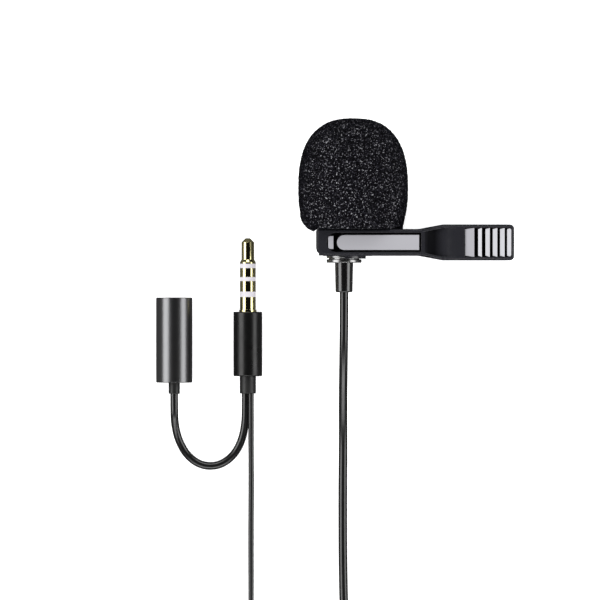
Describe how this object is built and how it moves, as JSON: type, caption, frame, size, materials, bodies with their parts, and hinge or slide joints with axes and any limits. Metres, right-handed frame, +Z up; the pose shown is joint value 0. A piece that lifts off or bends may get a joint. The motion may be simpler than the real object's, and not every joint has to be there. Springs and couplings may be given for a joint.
{
  "type": "lavalier microphone",
  "caption": "Small clip-on microphone with a foam windscreen, sprung tie clip, cord, four-pole jack plug and a headphone socket on a short pigtail.",
  "frame": {"origin": "on the surface that the microphone lies on, under the middle of the head with its clip and windscreen, cords left out", "axes": "+X along the clip towards its thumb pads, +Y along the microphone towards its windscreen, +Z up, out of the clip's front face"},
  "size_m": [0.0787, 0.1585, 0.0244],
  "materials": {
    "foam": "open-cell foam, matt",
    "black_metal": "black, satin",
    "steel_mesh": "woven wire",
    "dark_chrome": "black chrome, polished",
    "black_rubber": "glossy moulded",
    "capsule_metal": "drawn can",
    "felt": "felt",
    "board_green": "solder mask",
    "black_plastic": "moulded",
    "solder": "tinned",
    "wire_red": "insulated wire",
    "cord_black": "satin cord jacket",
    "clip_gloss": "black, glossy",
    "silver_panel": "light grey, satin",
    "pin_steel": "plain steel",
    "gold": "gold plated, polished",
    "white_plastic": "moulded, white",
    "housing_black": "satin black",
    "gunmetal": "anodised, satin"
  },
  "bodies": {
    "microphone": {"mic_barrel": "black_metal", "grille_cap": "black_metal", "grille_mesh": "steel_mesh", "end_cap": "dark_chrome", "strain_relief": "black_rubber", "capsule_can": "capsule_metal", "capsule_felt": "felt", "capsule_diaphragm": "capsule_metal", "capsule_backplate": "capsule_metal", "capsule_board": "board_green", "capsule_transistor": "black_plastic", "capsule_boot": "black_rubber", "solder_joints": "solder", "inner_wires": "wire_red", "cord_end": "cord_black", "cord_crimp": "solder", "plug_tip": "gold", "plug_ring_1": "gold", "plug_ring_2": "gold", "plug_sleeve": "gold", "plug_insulator_1": "white_plastic", "plug_insulator_2": "white_plastic", "plug_insulator_3": "white_plastic", "plug_wires": "wire_red", "plug_core": "black_plastic", "plug_housing": "housing_black", "plug_strain_relief": "black_rubber", "socket_shell": "gunmetal", "socket_mouth_ring": "black_plastic", "socket_insert": "black_plastic", "socket_contacts": "gold", "socket_end_plug": "black_plastic", "socket_strain_relief": "black_rubber", "mic_lead": "cord_black", "cable_coil": "cord_black", "lead_tail": "cord_black", "coil_tie": "black_rubber", "inline_joint": "black_rubber", "plug_lead": "cord_black", "pigtail": "cord_black"},
    "windscreen": {"foam_windscreen": "foam"},
    "clip_front": {"front_lever": "clip_gloss", "front_panel": "silver_panel", "ring_inlay": "silver_panel", "grip_bars": "silver_panel", "pivot_pin": "pin_steel", "torsion_spring": "pin_steel"},
    "clip_rear": {"rear_lever": "clip_gloss"}
  },
  "joints": [
    {"name": "windscreen_pull", "type": "slide", "parent": "microphone", "child": "windscreen", "axis": [0, 1, 0], "range_m": [0, 0.022]},
    {"name": "clip_swivel", "type": "hinge", "parent": "microphone", "child": "clip_front", "pos_m": [-0.01357, -0.00825, 0.0122], "axis": [0, -1, 0], "range_deg": [-90, 180]},
    {"name": "clip_squeeze", "type": "hinge", "parent": "clip_front", "child": "clip_rear", "pos_m": [0.00553, -0.00825, 0.0112], "axis": [0, -1, 0], "range_deg": [0, 20], "stiffness_Nm_per_rad": 0.05, "springref_deg": -34.38, "deforming": ["torsion_spring"]}
  ]
}
